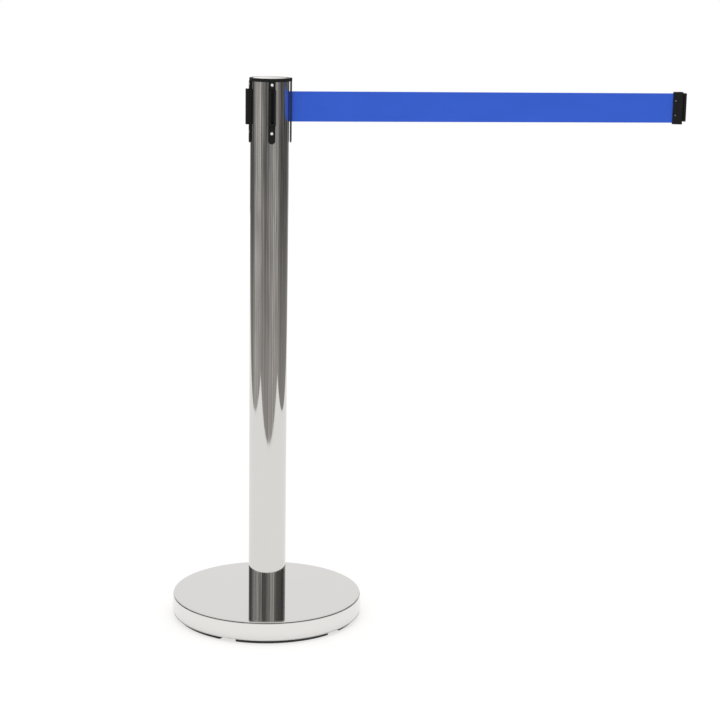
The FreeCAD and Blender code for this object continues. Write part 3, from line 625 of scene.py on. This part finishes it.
def make_camera():
    data = bpy.data.cameras.new("camera")
    data.sensor_width = SENSOR_WIDTH
    data.lens = CAMERA_LENS
    camera = bpy.data.objects.new("camera", data)
    bpy.context.scene.collection.objects.link(camera)
    forward = Vector((math.sin(CAMERA_YAW) * math.cos(CAMERA_PITCH),
                      math.cos(CAMERA_YAW) * math.cos(CAMERA_PITCH), -math.sin(CAMERA_PITCH)))
    level = forward.cross(Vector((0, 0, 1))).normalized()
    upright = level.cross(forward)
    right = level * math.cos(CAMERA_ROLL) + upright * math.sin(CAMERA_ROLL)
    up = upright * math.cos(CAMERA_ROLL) - level * math.sin(CAMERA_ROLL)
    turn = Matrix((right, up, -forward)).transposed().to_4x4()
    place = Vector((CAMERA_DISTANCE * math.sin(CAMERA_AZIMUTH),
                    -CAMERA_DISTANCE * math.cos(CAMERA_AZIMUTH), CAMERA_HEIGHT))
    camera.matrix_world = Matrix.Translation(place) @ turn
    bpy.context.scene.camera = camera


# ---------------------------------------------------------------- studio

# the made-up room that reflections show, as listed plain bands of grey:
# (degrees round from the front, grey)
DARK, MIDDLE, PALE = 0.1, 0.3, 0.45
ROOM = [(-180, PALE), (-150, DARK), (-120, DARK), (-90, PALE), (-60, PALE), (-30, DARK),
        (0, MIDDLE), (30, PALE), (60, DARK), (120, DARK), (150, PALE), (180, PALE)]
WARMTH = 0.03
# how far down the even grey starts and is full, and how far up the lighter part does
LOW_START, LOW_END = math.radians(-5), math.radians(-15)
HIGH_START, HIGH_END = math.radians(20), math.radians(30)
# the backdrop: how far round it starts, how softly, and how far up it is full
BACKDROP_EDGE = math.radians(160)
BACKDROP_FADE = math.radians(5)
BACKDROP_RISE = math.radians(10)


def room_noise(tree, view, scales, seed, detail=2.0):
    """Noise over the room. view is the turn and the rise of a direction, and scales stretch it."""
    turned, raised = (calc(tree, "MULTIPLY", angle, scale) for angle, scale in zip(view, scales))
    place = add(tree, "ShaderNodeCombineXYZ", {0: turned, 1: raised, 2: seed})
    return add(tree, "ShaderNodeTexNoise", {
        "Vector": place.outputs[0], "Scale": 1.0, "Detail": detail}).outputs["Fac"]


def room_streaks(tree, view):
    """The room's bands, which sway a little and are broken into upright streaks."""
    steady = calc(tree, "MULTIPLY_ADD", view[0], 0.5 / math.pi, 0.5)
    sway = mapped(tree, room_noise(tree, view, (4.0, 13.0), 1.7), 0.3, 0.7, -0.01, 0.01)
    ramp = add(tree, "ShaderNodeValToRGB", {"Fac": calc(tree, "ADD", steady, sway)})
    stops = ramp.color_ramp.elements
    for index, (degrees, grey) in enumerate(ROOM):
        place = degrees / 360 + 0.5
        stop = stops[index] if index < 2 else stops.new(place)
        stop.position = place
        stop.color = (grey * (1 + WARMTH), grey, grey * (1 - WARMTH), 1.0)
    fine = mapped(tree, room_noise(tree, view, (26.0, 2.0), 4.2, detail=3.0), 0.35, 0.65, 0.2, 1.8)
    blotches = mapped(tree, room_noise(tree, view, (9.0, 40.0), 8.1), 0.35, 0.65, 0.7, 1.3)
    texture = calc(tree, "MULTIPLY", fine, blotches)
    return blended(tree, 1.0, ramp.outputs[0], texture, "MULTIPLY")


def room_colour(tree, view):
    """The room: streaks, a more even grey low down, lighter high up, a backdrop at the back."""
    around, rise = view
    edge = calc(tree, "ADD", rise, mapped(
        tree, room_noise(tree, view, (7.0, 0.0), 2.9), 0.3, 0.7, -0.03, 0.03))
    below = mapped(tree, edge, LOW_START, LOW_END, 0.0, 0.7, smooth=True)
    lines = mapped(tree, room_noise(tree, view, (34.0, 4.0), 5.6, detail=3.0),
                   0.35, 0.65, 0.6, 1.4)
    low_grey = blended(tree, 1.0, (0.45, 0.43, 0.41, 1.0), lines, "MULTIPLY")
    lower = blended(tree, below, room_streaks(tree, view), low_grey)
    high = mapped(tree, rise, HIGH_START, HIGH_END, 0.0, 1.0, smooth=True)
    upper = blended(tree, high, lower, (0.8, 0.8, 0.79, 1.0))
    behind = mapped(tree, calc(tree, "ABSOLUTE", around), BACKDROP_EDGE - BACKDROP_FADE,
                    BACKDROP_EDGE + BACKDROP_FADE, 0.0, 1.0, smooth=True)
    above = mapped(tree, rise, 0.0, BACKDROP_RISE, 0.0, 1.0, smooth=True)
    return blended(tree, calc(tree, "MULTIPLY", behind, above), upper, (1.0, 0.99, 0.98, 1.0))


def make_world():
    """White to the camera, soft white light, and the room in the reflections."""
    world = bpy.data.worlds.new("studio")
    bpy.context.scene.world = world
    world.use_nodes = True
    world.cycles.sampling_method = "NONE"
    tree = world.node_tree
    direction = add(tree, "ShaderNodeTexCoord").outputs["Generated"]
    split = add(tree, "ShaderNodeSeparateXYZ", {"Vector": direction})
    to_front = calc(tree, "MULTIPLY", split.outputs[1], -1.0)
    around = calc(tree, "ARCTAN2", split.outputs[0], to_front)
    rise = calc(tree, "ARCSINE", split.outputs[2])
    ray = add(tree, "ShaderNodeLightPath")
    lit = blended(tree, ray.outputs["Is Glossy Ray"], (1.06, 1.06, 1.06, 1.0),
                  room_colour(tree, (around, rise)))
    seen = blended(tree, ray.outputs["Is Camera Ray"], lit, (1.0, 1.0, 1.0, 1.0))
    tree.links.new(seen, tree.nodes["Background"].inputs["Color"])


# the paper is a plain rectangle, in metres
PAPER_SIDE = 1.5
PAPER_FRONT = -1.2
PAPER_BACK = 5.0


def make_paper():
    """The white paper that the stanchion stands on."""
    corners = [(-PAPER_SIDE, PAPER_FRONT), (PAPER_SIDE, PAPER_FRONT),
               (PAPER_SIDE, PAPER_BACK), (-PAPER_SIDE, PAPER_BACK)]
    made = bmesh.new()
    made.faces.new([made.verts.new((x, y, 0.0)) for x, y in corners])
    mesh = bpy.data.meshes.new("paper")
    made.to_mesh(mesh)
    made.free()
    paper = bpy.data.objects.new("paper", mesh)
    bpy.context.scene.collection.objects.link(paper)
    material, tree, shader = surface("white_paper", Roughness=0.9)
    shader.inputs["Specular IOR Level"].default_value = 0.1
    shader.inputs["Emission Color"].default_value = (1.0, 0.995, 0.985, 1.0)
    shader.inputs["Emission Strength"].default_value = 0.66
    tint(tree, shader, grain(tree, 1.5), (0.35, 0.348, 0.345), 0.96, 1.0)
    mesh.materials.append(material)


def make_light(name, place, target, size, power):
    """A square light that faces its target. Its size is in metres and its power in watts."""
    data = bpy.data.lights.new(name, "AREA")
    data.shape = "SQUARE"
    data.size = size
    data.energy = power
    light = bpy.data.objects.new(name, data)
    bpy.context.scene.collection.objects.link(light)
    light.location = place
    light.rotation_euler = (Vector(target) - Vector(place)).to_track_quat("-Z", "Y").to_euler()


make_camera()
make_world()
make_paper()
make_light("top_softbox", (0.3, -0.2, 2.7), (0.1, 0.0, 0.4), 1.8, 4.0)
make_light("front_softbox", (-0.9, -2.0, 2.6), (0.1, 0.0, 0.7), 1.2, 4.0)
bpy.context.scene.view_settings.view_transform = "Standard"
